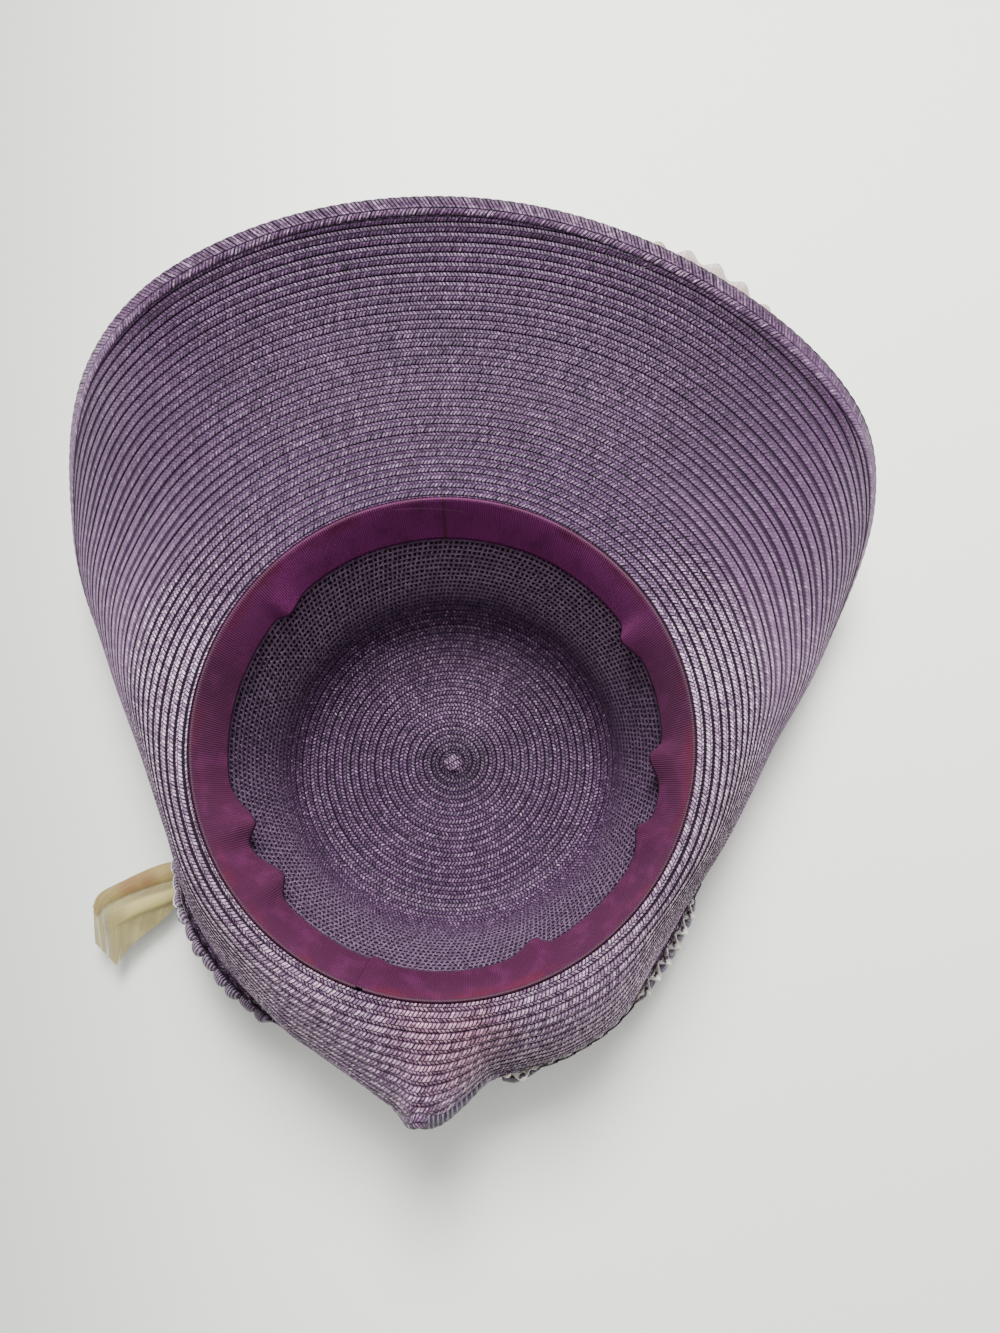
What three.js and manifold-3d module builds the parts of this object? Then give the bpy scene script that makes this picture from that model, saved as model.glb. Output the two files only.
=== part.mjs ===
// Straw hat of sewn braid, lying upside down on the flat tip of its crown.
// Millimetres, +Z up. The origin is the middle of the crown's flat tip, on the surface it lies on.
// +Y points to the front of the hat, where the brim is widest, and the head opening faces up.
import * as THREE from 'three';
import { mergeVertices } from 'three/addons/utils/BufferGeometryUtils.js';
import Module from 'manifold-3d';

// Driving dimensions of the crown and the head opening
const OPENING_RADIUS = 90.5;
const CROWN_DEPTH = 92;
const STRAW_WALL = 2;
const WALL_TAPER = THREE.MathUtils.degToRad(13.4);
const SHOULDER_RADIUS = 13.5;
const OPENING_HEIGHT = CROWN_DEPTH + STRAW_WALL;
const CROWN_STOP = 3.2; // how far below the opening the crown ends, under the brim's first row

// Brim, rim and trim
const RIM_WIDTH = 7;
const RIM_RAISE = 0.8;
const FLARE_LENGTH = 14; // the stretch next to the edge in which the brim flares
const PIECE_GAP = 0.3;
const TRIM_GAP = 0.7;
const RIBBON_WIDTH = 6;
const RIBBON_THICKNESS = 0.8;
const SCALLOP_WIDTH = 4.5;
const SCALLOP_THICKNESS = 2.2;
const ZIGZAG = 1.5; // half the swing of the wavy trims

// Sweatband
const BAND_WIDTH = 23;
const BAND_THICKNESS = 1;
const BAND_CLEARANCE = 0.4;
const BAND_START = 1; // depth of the band's sewn edge below the opening
const BAND_LOOSE = 1.6;
const BAND_JOIN = 253; // azimuth where the ribbon's two ends meet
const BAND_JOIN_HALF_GAP = 0.6;

// Plume
const PLUME_AZIMUTH = 204;
const PLUME_HEIGHT = 14;
const QUILL_LENGTH = 28;
const QUILL_WIDTH = 4;
const QUILL_THICKNESS = 1.6;
const LOCK_THICKNESS = 1;

// How finely the solids are divided
const CROWN_SEGMENTS = 60;
const SHOULDER_STEPS = 5;
const BRIM_COLUMNS = 108;
const BRIM_STEPS = 10;
const SECTION_STEPS = 80;

// Sections of the brim round the head. Azimuth 0 is +X, 90 the front, 270 the back.
// width is measured along the straw from the head opening to the edge. The slope, in degrees above
// level, starts at start, reaches middle at middleAt and ends at edge, and flare is added at the edge.
const BRIM_SECTIONS = [
  { azimuth: 0, width: 94, start: -16, middleAt: 34.5, middle: -60, edge: -86, flare: 0 },
  { azimuth: 15, width: 104, start: -16, middleAt: 61, middle: -42, edge: -82, flare: 0 },
  { azimuth: 30, width: 120.5, start: -16, middleAt: 66.5, middle: -11, edge: -42, flare: 0 },
  { azimuth: 42, width: 118.5, start: -17, middleAt: 70, middle: 0, edge: 8, flare: 0 },
  { azimuth: 60, width: 117, start: -18, middleAt: 56, middle: 2, edge: 30, flare: 0 },
  { azimuth: 90, width: 121.5, start: -18, middleAt: 56, middle: 2, edge: 34, flare: 0 },
  { azimuth: 120, width: 120.5, start: -18, middleAt: 56, middle: 2, edge: 30, flare: 0 },
  { azimuth: 134, width: 119.5, start: -17, middleAt: 70, middle: 0, edge: -11, flare: 0 },
  { azimuth: 150, width: 110.5, start: -13, middleAt: 72, middle: -30, edge: -56, flare: 0 },
  { azimuth: 165, width: 98, start: -9, middleAt: 49, middle: -52, edge: -84, flare: 0 },
  { azimuth: 180, width: 92, start: -11, middleAt: 29, middle: -64, edge: -88, flare: 0 },
  { azimuth: 196, width: 84, start: -14, middleAt: 19.5, middle: -68, edge: -89, flare: 0 },
  { azimuth: 211, width: 66, start: -12, middleAt: 19, middle: -66, edge: -78, flare: 16 },
  { azimuth: 228, width: 62, start: -9, middleAt: 17, middle: -61, edge: -76, flare: 16 },
  { azimuth: 242, width: 74, start: -8, middleAt: 19.5, middle: -52, edge: -95, flare: 0 },
  { azimuth: 247, width: 72, start: -7, middleAt: 20, middle: -50, edge: -94, flare: 0 },
  { azimuth: 254, width: 66, start: -6, middleAt: 24, middle: -46, edge: -92, flare: 0 },
  { azimuth: 260, width: 56, start: -6, middleAt: 28, middle: -38, edge: -84, flare: 0 },
  { azimuth: 263.5, width: 51, start: -6, middleAt: 27, middle: -26, edge: -66, flare: 0 },
  { azimuth: 266.7, width: 43.5, start: -6, middleAt: 36, middle: -14, edge: -34, flare: 0 },
  { azimuth: 270, width: 47, start: -6, middleAt: 30, middle: -22, edge: -50, flare: 0 },
  { azimuth: 273.5, width: 48.5, start: -6, middleAt: 24, middle: -34, edge: -64, flare: 4 },
  { azimuth: 278, width: 48, start: -6, middleAt: 16, middle: -42, edge: -74, flare: 12 },
  { azimuth: 284, width: 62, start: -7, middleAt: 16, middle: -46, edge: -86, flare: 6 },
  { azimuth: 292, width: 70, start: -8, middleAt: 22, middle: -52, edge: -92, flare: 0 },
  { azimuth: 303, width: 72, start: -9, middleAt: 22.5, middle: -58, edge: -90, flare: 0 },
  { azimuth: 319, width: 70, start: -13, middleAt: 13.5, middle: -69, edge: -80, flare: 18 },
  { azimuth: 336, width: 86, start: -16, middleAt: 18, middle: -70, edge: -89, flare: 0 },
];

// Runs of the edge trim. At the front it lies on the worn upper face, where side is 1, and beside the
// upturned back on the outer face, where side is -1. reach is how far it stands out past the edge.
const TRIM_RUNS = [
  { place: 'front', from: 30, to: 150, side: 1, reach: -2 },
  { place: 'left', from: 190, to: 240, side: -1, reach: 1 },
  { place: 'right', from: 280, to: 340, side: -1, reach: 1 },
];
const RIBBON_PEEK = { azimuth: 60, halfWidth: 9, reach: 3.8 }; // where the front ribbon shows past the edge

// Tucks of the sweatband's loose edge: where each one is and how far it stands in
const BAND_TUCKS = [
  { azimuth: 31, height: 4, halfWidth: 3 },
  { azimuth: 140, height: 5, halfWidth: 4 },
  { azimuth: 202, height: 6, halfWidth: 4 },
  { azimuth: 219, height: 6, halfWidth: 4 },
  { azimuth: 295, height: 4, halfWidth: 3 },
  { azimuth: 337, height: 4, halfWidth: 3 },
  { azimuth: 357, height: 5, halfWidth: 3 },
];

// Locks of the plume, fanned from the end of the quill: heading at the root and at the tip
const PLUME_LOCKS = [
  { rootHeading: 186, tipHeading: 214, length: 64, width: 16, lift: 1.2 },
  { rootHeading: 194, tipHeading: 230, length: 74, width: 18, lift: 0.4 },
  { rootHeading: 202, tipHeading: 242, length: 72, width: 18, lift: -0.4 },
  { rootHeading: 212, tipHeading: 232, length: 54, width: 15, lift: -1.2 },
];
const LOCK_STEPS = 8;

const wasm = await Module();
wasm.setup();

function smooth(t) {
  const x = THREE.MathUtils.clamp(t, 0, 1);
  return 0.5 * x + 0.5 * x * x * (3 - 2 * x);
}

// A column of the section table at any azimuth, by a closed cubic through the rows
function sectionValue(column, azimuth) {
  const count = BRIM_SECTIONS.length;
  const angle = THREE.MathUtils.euclideanModulo(azimuth, 360);
  let low = count - 1;
  while (low > 0 && BRIM_SECTIONS[low].azimuth > angle) low -= 1;
  const rowAt = (index) => {
    const row = BRIM_SECTIONS[THREE.MathUtils.euclideanModulo(index, count)];
    return { x: row.azimuth + 360 * Math.floor(index / count), y: row[column] };
  };
  const before = rowAt(low - 1);
  const left = rowAt(low);
  const right = rowAt(low + 1);
  const after = rowAt(low + 2);
  const span = right.x - left.x;
  const t = (angle - left.x) / span;
  const leftSlope = ((right.y - before.y) / (right.x - before.x)) * span;
  const rightSlope = ((after.y - left.y) / (after.x - left.x)) * span;
  return (
    (1 + 2 * t) * (1 - t) ** 2 * left.y
    + t * (1 - t) ** 2 * leftSlope
    + t * t * (3 - 2 * t) * right.y
    + t * t * (t - 1) * rightSlope
  );
}

// The brim's section at one azimuth, followed along the straw from the head opening
class BrimSection {
  constructor(azimuth) {
    this.azimuth = THREE.MathUtils.degToRad(azimuth);
    for (const column of ['width', 'start', 'middleAt', 'middle', 'edge', 'flare']) {
      this[column] = sectionValue(column, azimuth);
    }
    this.step = this.width / SECTION_STEPS;
    this.stations = [{ radius: OPENING_RADIUS, height: OPENING_HEIGHT }];
    for (let i = 0; i < SECTION_STEPS; i += 1) {
      const slope = this.slope((i + 0.5) * this.step);
      const last = this.stations[i];
      this.stations.push({
        radius: last.radius + Math.cos(slope) * this.step,
        height: last.height + Math.sin(slope) * this.step,
      });
    }
  }

  slope(along) {
    const inner = smooth(along / this.middleAt);
    const outer = smooth((along - this.middleAt) / (this.width - this.middleAt));
    const flare = smooth((along - this.width + FLARE_LENGTH) / FLARE_LENGTH);
    const degrees = this.start + (this.middle - this.start) * inner + (this.edge - this.middle) * outer;
    return THREE.MathUtils.degToRad(degrees + this.flare * flare);
  }

  // A point at a distance along the straw and at a depth under the face that meets the head
  point(along, depth) {
    const index = THREE.MathUtils.clamp(Math.floor(along / this.step), 0, SECTION_STEPS - 1);
    const from = this.stations[index];
    const to = this.stations[index + 1];
    const t = along / this.step - index;
    const slope = this.slope(along);
    const radius = from.radius + (to.radius - from.radius) * t + Math.sin(slope) * depth;
    const height = from.height + (to.height - from.height) * t - Math.cos(slope) * depth;
    return new THREE.Vector3(radius * Math.cos(this.azimuth), radius * Math.sin(this.azimuth), height);
  }
}

function geometryFrom(points, triangles) {
  let volume = 0;
  for (const [a, b, c] of triangles) {
    volume += points[a].dot(new THREE.Vector3().crossVectors(points[b], points[c]));
  }
  const index = triangles.flatMap(([a, b, c]) => (volume < 0 ? [a, c, b] : [a, b, c]));
  const geometry = new THREE.BufferGeometry();
  geometry.setAttribute('position', new THREE.Float32BufferAttribute(points.flatMap((p) => p.toArray()), 3));
  geometry.setIndex(index);
  geometry.computeVertexNormals();
  return geometry;
}

// A closed wall between a front and a back sheet, each given as columns of points
function wallGeometry(frontColumns, backColumns, closesOnItself) {
  const columns = frontColumns.length;
  const rows = frontColumns[0].length;
  const points = [...frontColumns.flat(), ...backColumns.flat()];
  const front = (i, j) => (i % columns) * rows + j;
  const back = (i, j) => columns * rows + (i % columns) * rows + j;
  const triangles = [];
  const quad = (a, b, c, d) => triangles.push([a, b, c], [a, c, d]);
  const last = closesOnItself ? columns : columns - 1;
  for (let i = 0; i < last; i += 1) {
    for (let j = 0; j < rows - 1; j += 1) {
      quad(front(i, j), front(i + 1, j), front(i + 1, j + 1), front(i, j + 1));
      quad(back(i, j), back(i, j + 1), back(i + 1, j + 1), back(i + 1, j));
    }
    quad(front(i, 0), back(i, 0), back(i + 1, 0), front(i + 1, 0));
    quad(front(i, rows - 1), front(i + 1, rows - 1), back(i + 1, rows - 1), back(i, rows - 1));
  }
  if (!closesOnItself) {
    for (let j = 0; j < rows - 1; j += 1) {
      quad(front(0, j), front(0, j + 1), back(0, j + 1), back(0, j));
      quad(front(last, j), back(last, j), back(last, j + 1), front(last, j + 1));
    }
  }
  return geometryFrom(points, triangles);
}

function mesh(name, geometry, color, roughness) {
  const material = new THREE.MeshStandardMaterial({ color, roughness, metalness: 0 });
  const piece = new THREE.Mesh(geometry, material);
  piece.name = name;
  return piece;
}

function wallRadius(depth) {
  return OPENING_RADIUS - Math.tan(WALL_TAPER) * depth;
}

// Bowl of the crown: flat tip, round shoulder and straight tapering wall
function crownGeometry() {
  const tipRadius = wallRadius(CROWN_DEPTH) - SHOULDER_RADIUS * Math.tan((Math.PI / 2 - WALL_TAPER) / 2);
  const centre = new THREE.Vector2(tipRadius, STRAW_WALL + SHOULDER_RADIUS);
  const shoulder = (radius) => Array.from({ length: SHOULDER_STEPS + 1 }, (_, i) => {
    const angle = THREE.MathUtils.lerp(-Math.PI / 2, -WALL_TAPER, i / SHOULDER_STEPS);
    return new THREE.Vector2(Math.cos(angle), Math.sin(angle)).multiplyScalar(radius).add(centre);
  });
  const innerTop = new THREE.Vector2(wallRadius(CROWN_STOP), OPENING_HEIGHT - CROWN_STOP);
  const outerTop = innerTop.clone().setX(innerTop.x + STRAW_WALL / Math.cos(WALL_TAPER));
  const profile = [
    new THREE.Vector2(0, 0),
    ...shoulder(SHOULDER_RADIUS + STRAW_WALL),
    outerTop,
    innerTop,
    ...shoulder(SHOULDER_RADIUS).reverse(),
    new THREE.Vector2(0, STRAW_WALL),
  ];
  return new THREE.LatheGeometry(profile, CROWN_SEGMENTS).rotateX(Math.PI / 2);
}

function brimGeometry(sections) {
  const columnAt = (section, depth) => Array.from({ length: BRIM_STEPS + 1 }, (_, j) => (
    section.point(((section.width - RIM_WIDTH) * j) / BRIM_STEPS, depth)
  ));
  const front = sections.map((section) => columnAt(section, 0));
  const back = sections.map((section) => columnAt(section, STRAW_WALL));
  return wallGeometry(front, back, true);
}

// Doubled braid row along the edge, rounded on the face that meets the head
function rimGeometry(sections) {
  const inner = RIM_WIDTH - PIECE_GAP;
  const front = sections.map((section) => [
    section.point(section.width - inner, 0),
    section.point(section.width - 0.5 * inner, -RIM_RAISE),
    section.point(section.width, 0),
  ]);
  const back = sections.map((section) => [
    section.point(section.width - inner, STRAW_WALL),
    section.point(section.width - 0.5 * inner, STRAW_WALL),
    section.point(section.width, STRAW_WALL),
  ]);
  return wallGeometry(front, back, true);
}

function bump(azimuth, centre, halfWidth) {
  const away = THREE.MathUtils.euclideanModulo(azimuth - centre + 180, 360) - 180;
  return Math.exp(-((away / halfWidth) ** 2));
}

function ribbonReach(run, section) {
  const azimuth = THREE.MathUtils.radToDeg(section.azimuth);
  return run.reach + RIBBON_PEEK.reach * bump(azimuth, RIBBON_PEEK.azimuth, RIBBON_PEEK.halfWidth);
}

// A wavy trim laid along a run of the edge, with two columns to each one of the brim
function trimGeometry(sections, run, { width, reachAt, offset, thickness, phase }) {
  const step = 360 / sections.length;
  const first = Math.round(run.from / step);
  const count = Math.round((run.to - run.from) / step);
  const face = run.side > 0 ? STRAW_WALL : -RIM_RAISE;
  const strip = (height) => Array.from({ length: 2 * count + 1 }, (_, i) => {
    const left = sections[(first + Math.floor(i / 2)) % sections.length];
    const right = sections[(first + Math.ceil(i / 2)) % sections.length];
    const swing = ZIGZAG * ((i + phase) % 2 === 0 ? 1 : -1);
    return [width, 0].map((inset) => {
      const [from, to] = [left, right].map((section) => (
        section.point(section.width + reachAt(section) - ZIGZAG + swing - inset, face + run.side * height)
      ));
      return from.lerp(to, 0.5);
    });
  });
  return wallGeometry(strip(offset), strip(offset + thickness), false);
}

// Azimuths of the sweatband's columns: even steps, with extra ones at each tuck
function bandAzimuths() {
  const first = BAND_JOIN + BAND_JOIN_HALF_GAP - 360;
  const last = BAND_JOIN - BAND_JOIN_HALF_GAP;
  const evenSteps = 60;
  const azimuths = Array.from({ length: evenSteps + 1 }, (_, i) => first + ((last - first) * i) / evenSteps);
  for (const tuck of BAND_TUCKS) {
    const centre = tuck.azimuth > last ? tuck.azimuth - 360 : tuck.azimuth;
    azimuths.push(centre - 0.6 * tuck.halfWidth, centre, centre + 0.6 * tuck.halfWidth);
  }
  return azimuths.sort((a, b) => a - b);
}

function tuckInset(azimuth) {
  let inset = 0;
  for (const tuck of BAND_TUCKS) {
    inset += tuck.height * bump(azimuth, tuck.azimuth, 0.6 * tuck.halfWidth);
  }
  return inset;
}

// Ribbon inside the opening: sewn along one edge, loose and tucked along the deep one
function sweatbandGeometry() {
  const across = [0, 0.35, 0.7, 1];
  const sheet = (lift) => bandAzimuths().map((azimuth) => {
    const angle = THREE.MathUtils.degToRad(azimuth);
    return across.map((v) => {
      const depth = BAND_START + BAND_WIDTH * v * Math.cos(WALL_TAPER);
      const loose = BAND_LOOSE * v * v + tuckInset(azimuth) * v ** 1.5;
      const radius = wallRadius(depth) - BAND_CLEARANCE - loose - lift;
      return new THREE.Vector3(radius * Math.cos(angle), radius * Math.sin(angle), OPENING_HEIGHT - depth);
    });
  });
  return wallGeometry(sheet(BAND_THICKNESS), sheet(0), false);
}

function solidFrom(geometry) {
  geometry.deleteAttribute('normal');
  const merged = mergeVertices(geometry);
  return new wasm.Manifold(new wasm.Mesh({
    numProp: 3,
    vertProperties: new Float32Array(merged.attributes.position.array),
    triVerts: new Uint32Array(merged.index.array),
  }));
}

// A flat strip that leaves a start point and turns evenly from one heading to another
function plumeStrip({ start, rootHeading, tipHeading, length, thickness, widthAt }) {
  const top = [];
  const bottom = [];
  const position = start.clone();
  for (let i = 0; i <= LOCK_STEPS; i += 1) {
    const t = i / LOCK_STEPS;
    const heading = THREE.MathUtils.degToRad(THREE.MathUtils.lerp(rootHeading, tipHeading, t));
    const forward = new THREE.Vector3(Math.cos(heading), Math.sin(heading), 0);
    const side = new THREE.Vector3(-forward.y, forward.x, 0).multiplyScalar(0.5 * widthAt(t));
    const rise = new THREE.Vector3(0, 0, 0.5 * thickness);
    top.push([position.clone().add(side).add(rise), position.clone().sub(side).add(rise)]);
    bottom.push([position.clone().add(side).sub(rise), position.clone().sub(side).sub(rise)]);
    position.addScaledVector(forward, length / LOCK_STEPS);
  }
  return solidFrom(wallGeometry(top, bottom, false));
}

// Feather: a quill held at the crown's wall, and locks fused to its end
function plumeGeometry() {
  const azimuth = THREE.MathUtils.degToRad(PLUME_AZIMUTH);
  const outward = new THREE.Vector3(Math.cos(azimuth), Math.sin(azimuth), 0);
  const wall = wallRadius(OPENING_HEIGHT - PLUME_HEIGHT) + STRAW_WALL / Math.cos(WALL_TAPER);
  const root = outward.clone().multiplyScalar(wall + PIECE_GAP).setZ(PLUME_HEIGHT);
  let plume = plumeStrip({
    start: root,
    rootHeading: PLUME_AZIMUTH,
    tipHeading: PLUME_AZIMUTH,
    length: QUILL_LENGTH,
    thickness: QUILL_THICKNESS,
    widthAt: () => QUILL_WIDTH,
  });
  const fork = root.clone().addScaledVector(outward, QUILL_LENGTH - QUILL_WIDTH);
  for (const lock of PLUME_LOCKS) {
    const start = fork.clone().setZ(fork.z + 0.5 * lock.lift);
    const widthAt = (t) => lock.width * (0.3 + 0.7 * Math.sin(Math.PI * Math.min(1, 0.12 + 0.86 * t)));
    plume = plume.add(plumeStrip({ ...lock, start, thickness: LOCK_THICKNESS, widthAt }));
  }
  const { vertProperties, triVerts } = plume.getMesh();
  const geometry = new THREE.BufferGeometry();
  geometry.setAttribute('position', new THREE.BufferAttribute(vertProperties, 3));
  geometry.setIndex(new THREE.BufferAttribute(triVerts, 1));
  geometry.computeVertexNormals();
  return geometry;
}

const sections = Array.from({ length: BRIM_COLUMNS }, (_, i) => new BrimSection((360 * i) / BRIM_COLUMNS));

const hat = new THREE.Group();
hat.name = 'straw_hat';
hat.add(mesh('straw_crown', crownGeometry(), 0x73607d, 0.6));
hat.add(mesh('straw_brim', brimGeometry(sections), 0x7a6784, 0.6));
hat.add(mesh('rim_braid', rimGeometry(sections), 0x8a7893, 0.55));
hat.add(mesh('sweatband', sweatbandGeometry(), 0x69305a, 0.75));
for (const run of TRIM_RUNS) {
  const ribbon = trimGeometry(sections, run, {
    width: RIBBON_WIDTH,
    reachAt: (section) => ribbonReach(run, section),
    offset: TRIM_GAP,
    thickness: RIBBON_THICKNESS,
    phase: 0,
  });
  const scallops = trimGeometry(sections, run, {
    width: SCALLOP_WIDTH,
    reachAt: () => run.reach,
    offset: TRIM_GAP + RIBBON_THICKNESS + TRIM_GAP,
    thickness: SCALLOP_THICKNESS,
    phase: 1,
  });
  hat.add(mesh(`${run.place}_ribbon`, ribbon, 0xe1ded7, 0.5));
  hat.add(mesh(`${run.place}_scallops`, scallops, 0x6e5a80, 0.6));
}
hat.add(mesh('plume', plumeGeometry(), 0xc3b996, 0.8));

export default hat;
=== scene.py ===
import math

import bpy
import numpy as np
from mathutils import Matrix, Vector


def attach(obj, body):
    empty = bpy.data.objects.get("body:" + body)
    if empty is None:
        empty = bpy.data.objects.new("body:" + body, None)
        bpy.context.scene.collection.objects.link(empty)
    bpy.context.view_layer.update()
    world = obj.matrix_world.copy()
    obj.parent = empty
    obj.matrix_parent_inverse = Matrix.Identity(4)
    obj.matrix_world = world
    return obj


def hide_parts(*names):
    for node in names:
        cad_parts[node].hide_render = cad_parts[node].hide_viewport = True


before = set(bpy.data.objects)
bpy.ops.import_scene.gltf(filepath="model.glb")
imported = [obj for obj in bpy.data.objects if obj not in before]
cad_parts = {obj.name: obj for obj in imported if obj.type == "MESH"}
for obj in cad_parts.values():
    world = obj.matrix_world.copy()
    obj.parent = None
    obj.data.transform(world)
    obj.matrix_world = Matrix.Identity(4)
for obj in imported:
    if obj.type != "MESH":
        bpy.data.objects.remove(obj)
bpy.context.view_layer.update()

MM = 0.001

# Sizes of the solids in millimetres, with azimuths and the gap of the band's join in degrees
OPENING_RADIUS = 90.5
CROWN_DEPTH = 92.0
STRAW_WALL = 2.0
WALL_TAPER = math.radians(13.4)
SHOULDER_RADIUS = 13.5
OPENING_HEIGHT = CROWN_DEPTH + STRAW_WALL
RIM_WIDTH = 7.0
RIM_RAISE = 0.8
FLARE_LENGTH = 14.0
RIBBON_WIDTH = 6.0
RIBBON_THICKNESS = 0.8
SCALLOP_THICKNESS = 2.2
ZIGZAG = 1.5
BAND_WIDTH = 23.0
BAND_THICKNESS = 1.0
BAND_CLEARANCE = 0.4
BAND_START = 1.0
BAND_LOOSE = 1.6
BAND_JOIN = 253.0
BAND_JOIN_HALF_GAP = 0.6
PLUME_AZIMUTH = 204.0
PLUME_HEIGHT = 14.0
QUILL_LENGTH = 28.0

# The band's lapped join: its length and the length over which it fades out, in degrees, and its lift
BAND_LAP, BAND_LAP_FADE, BAND_LAP_LIFT = 2.2, 3.0, 1.1
# Ripple of the band's loose edge, the share of it that goes into the depth, the gap behind the band, and
# the radius at which its ribs are measured
BAND_RIPPLE, BAND_UNEVEN, BAND_BACK, BAND_RADIUS = 0.5, 0.35, 0.15, 85.0

# The plume: the quill's gap from the crown, its half width and thickness, the share by which it tapers,
# and the curl of the vanes
QUILL_GAP = 0.3
QUILL_HALF_WIDTH, QUILL_HALF_THICKNESS, QUILL_TAPER = 1.2, 0.8, 0.4
VANE_CURL = 1.5

# Sections of the brim round the head, as in the solids: distances in millimetres, slopes in degrees
SECTION_COLUMNS = ("azimuth", "width", "start", "middle_at", "middle", "edge", "flare")
BRIM_SECTIONS = np.array([
    (0, 94, -16, 34.5, -60, -86, 0),
    (15, 104, -16, 61, -42, -82, 0),
    (30, 120.5, -16, 66.5, -11, -42, 0),
    (42, 118.5, -17, 70, 0, 8, 0),
    (60, 117, -18, 56, 2, 30, 0),
    (90, 121.5, -18, 56, 2, 34, 0),
    (120, 120.5, -18, 56, 2, 30, 0),
    (134, 119.5, -17, 70, 0, -11, 0),
    (150, 110.5, -13, 72, -30, -56, 0),
    (165, 98, -9, 49, -52, -84, 0),
    (180, 92, -11, 29, -64, -88, 0),
    (196, 84, -14, 19.5, -68, -89, 0),
    (211, 66, -12, 19, -66, -78, 16),
    (228, 62, -9, 17, -61, -76, 16),
    (242, 74, -8, 19.5, -52, -95, 0),
    (247, 72, -7, 20, -50, -94, 0),
    (254, 66, -6, 24, -46, -92, 0),
    (260, 56, -6, 28, -38, -84, 0),
    (263.5, 51, -6, 27, -26, -66, 0),
    (266.7, 43.5, -6, 36, -14, -34, 0),
    (270, 47, -6, 30, -22, -50, 0),
    (273.5, 48.5, -6, 24, -34, -64, 4),
    (278, 48, -6, 16, -42, -74, 12),
    (284, 62, -7, 16, -46, -86, 6),
    (292, 70, -8, 22, -52, -92, 0),
    (303, 72, -9, 22.5, -58, -90, 0),
    (319, 70, -13, 13.5, -69, -80, 18),
    (336, 86, -16, 18, -70, -89, 0),
], float)
SECTION_STATIONS = 120
PAST_EDGE = 10.0

# Tucks of the sweatband's loose edge: azimuth, how far each stands in, and its half width in degrees,
# which is stretched before the azimuth and drawn in after it
BAND_TUCKS = ((31, 4, 3), (140, 3, 3), (202, 6, 4), (219, 6, 4), (295, 4, 3), (337, 4, 3), (357, 5, 3))
TUCK_SKEW = (1.8, 0.8)

# Braid rows: pitch between rows, and the relief across one row from its inner edge to its outer one
ROW_PITCH = 3.6
ROW_PROFILE = np.array([
    (0.0, -0.5), (0.04, 0.1), (0.15, 0.32), (0.5, 0.25), (0.82, 0.02), (0.93, -0.3), (1.0, -0.5),
])
# Shares of that relief that are left inside the crown and at the front of the brim
CROWN_RELIEF, FRONT_RELIEF = 0.55, 0.75
# How far a row sways, in millimetres, and how much its relief does, as a share
ROW_SWAY, LIFT_SWAY = 0.07, 0.05
# Swings in one turn round the hat, and the power by which the quicker ones are weaker
SWING_TURNS, SWING_FALL = (2, 3, 5, 9, 14), 0.7
# A strip of a row that is narrower than this is left out
LEAST_STRIP = 0.02
# How far below the opening the crown's rows end, and how far the brim's rows run under the rim
CROWN_END = 1.8
ROW_UNDER_RIM = 0.6

# The plaited rim: a strand's length along the edge, where across the front it folds, how far it leans
# in strands for the whole width, and how high it stands
RIM_STRAND = 4.6
RIM_FOLD, RIM_LEAN, RIM_RIDGE = 0.42, 1.2, 0.3
# Its section: distance from the edge, depth, and share across the front, which is 1 on the rolled edge
RIM_SECTION = np.array([
    (-6.9, 1.2, 0.0), (-6.9, 0.2, 0.02), (-6.5, -0.5, 0.07), (-5.4, -0.85, 0.2), (-4.2, -0.8, 0.36),
    (-3.2, -0.75, 0.5), (-2.1, -0.8, 0.65), (-1.0, -0.6, 0.8), (-0.2, -0.1, 0.92), (0.05, 0.7, 1.0),
    (-0.2, 1.6, 1.1), (-1.2, 2.1, 1.25), (-3.2, 2.2, 1.5), (-5.4, 2.1, 1.75), (-6.8, 1.9, 1.95),
])

# The plaited start of the crown's spiral: radius and how far that is from round, how far it is sunk and
# how far it rises, width of a row across it, and its turn
BUTTON_RADIUS, BUTTON_OVAL = 4.7, 0.25
BUTTON_SUNK, BUTTON_RISE = 0.5, 1.1
BUTTON_ROW = 3.2
BUTTON_TURN = math.radians(28)

# How finely the pieces are divided, the two trims for each degree
BRIM_COLUMNS, PLAIN_COLUMNS, RIM_COLUMNS = 421, 301, 2200
BAND_COLUMNS, BAND_ROWS = 721, 19
RIBBON_STEPS, SCALLOP_STEPS = 5, 6
QUILL_SIDES, QUILL_RINGS = 10, 12

# Seeds of what sways
UNDERSIDE_SEED, UPPER_SEED, INSIDE_SEED, OUTSIDE_SEED = 1000, 2000, 3000, 4000
LIFT_SEED = 100
RIPPLE_SEED, DEPTH_SEED = 31, 32


def smooth(t):
    x = np.clip(t, 0, 1)
    return 0.5 * x + 0.5 * x * x * (3 - 2 * x)


def section_value(column, azimuths):
    """A column of the section table at each azimuth, by a closed cubic through the rows."""
    at = BRIM_SECTIONS[:, 0]
    values = BRIM_SECTIONS[:, SECTION_COLUMNS.index(column)]
    x = np.concatenate([at[-2:] - 360, at, at[:2] + 360])
    y = np.concatenate([values[-2:], values, values[:2]])
    angle = np.mod(azimuths, 360)
    i = np.searchsorted(x, angle, side="right") - 1
    span = x[i + 1] - x[i]
    t = (angle - x[i]) / span
    left = (y[i + 1] - y[i - 1]) / (x[i + 1] - x[i - 1]) * span
    right = (y[i + 2] - y[i]) / (x[i + 2] - x[i]) * span
    near = (1 + 2 * t) * (1 - t) ** 2 * y[i] + t * (1 - t) ** 2 * left
    far = t * t * (3 - 2 * t) * y[i + 1] + t * t * (t - 1) * right
    return near + far


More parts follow.
